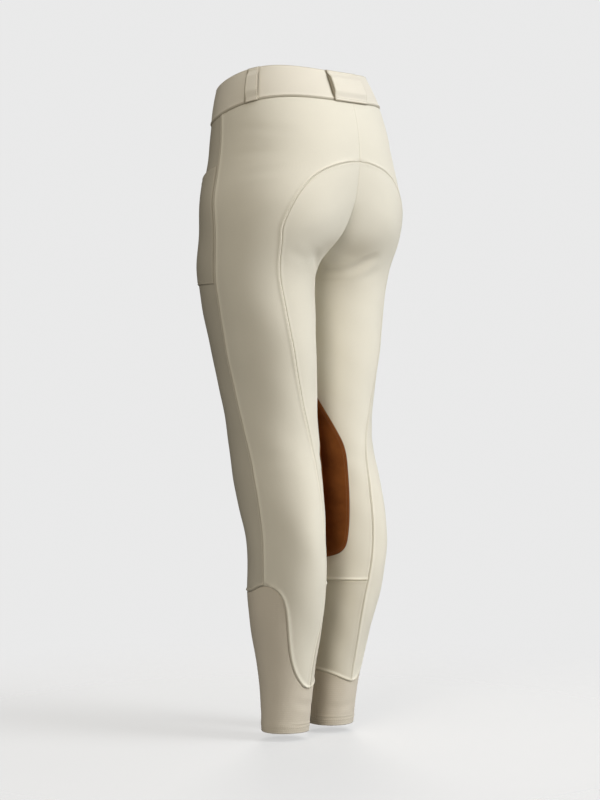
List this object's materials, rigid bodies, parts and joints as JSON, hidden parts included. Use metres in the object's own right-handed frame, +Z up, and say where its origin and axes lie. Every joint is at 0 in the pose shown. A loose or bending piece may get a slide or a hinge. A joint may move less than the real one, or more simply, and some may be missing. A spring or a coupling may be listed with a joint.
{
  "type": "riding breeches",
  "caption": "Hollow stretch riding breeches in worn shape, with an arched seat seam, suede knee patches, stretch ankle panels, a thigh pocket and belt loops.",
  "frame": {"origin": "middle of the waistband, half way up its side and on the middle plane", "axes": "+Z up to the waist, -Y the wearer's front, +X the wearer's left"},
  "size_m": [0.346, 0.2451, 0.9974],
  "materials": {
    "main_cloth": "matte stretch twill",
    "stretch_knit": "matte stretch knit",
    "knee_suede": "suede",
    "zip_tape": "woven tape",
    "button": "satin"
  },
  "bodies": {
    "root": {"waistband": "main_cloth", "belt_loop_back": "main_cloth", "belt_loop_left": "main_cloth", "belt_loop_right": "main_cloth", "belt_loop_front_left": "main_cloth", "belt_loop_front_right": "main_cloth", "back_panel_left": "main_cloth", "seat_panel_left": "main_cloth", "front_panel_left": "main_cloth", "calf_panel_left": "main_cloth", "knee_patch_left": "knee_suede", "ankle_panel_left": "stretch_knit", "back_panel_right": "main_cloth", "seat_panel_right": "main_cloth", "front_panel_right": "main_cloth", "calf_panel_right": "main_cloth", "knee_patch_right": "knee_suede", "ankle_panel_right": "stretch_knit", "thigh_pocket": "main_cloth", "zip": "zip_tape", "waist_button": "button"}
  },
  "joints": []
}
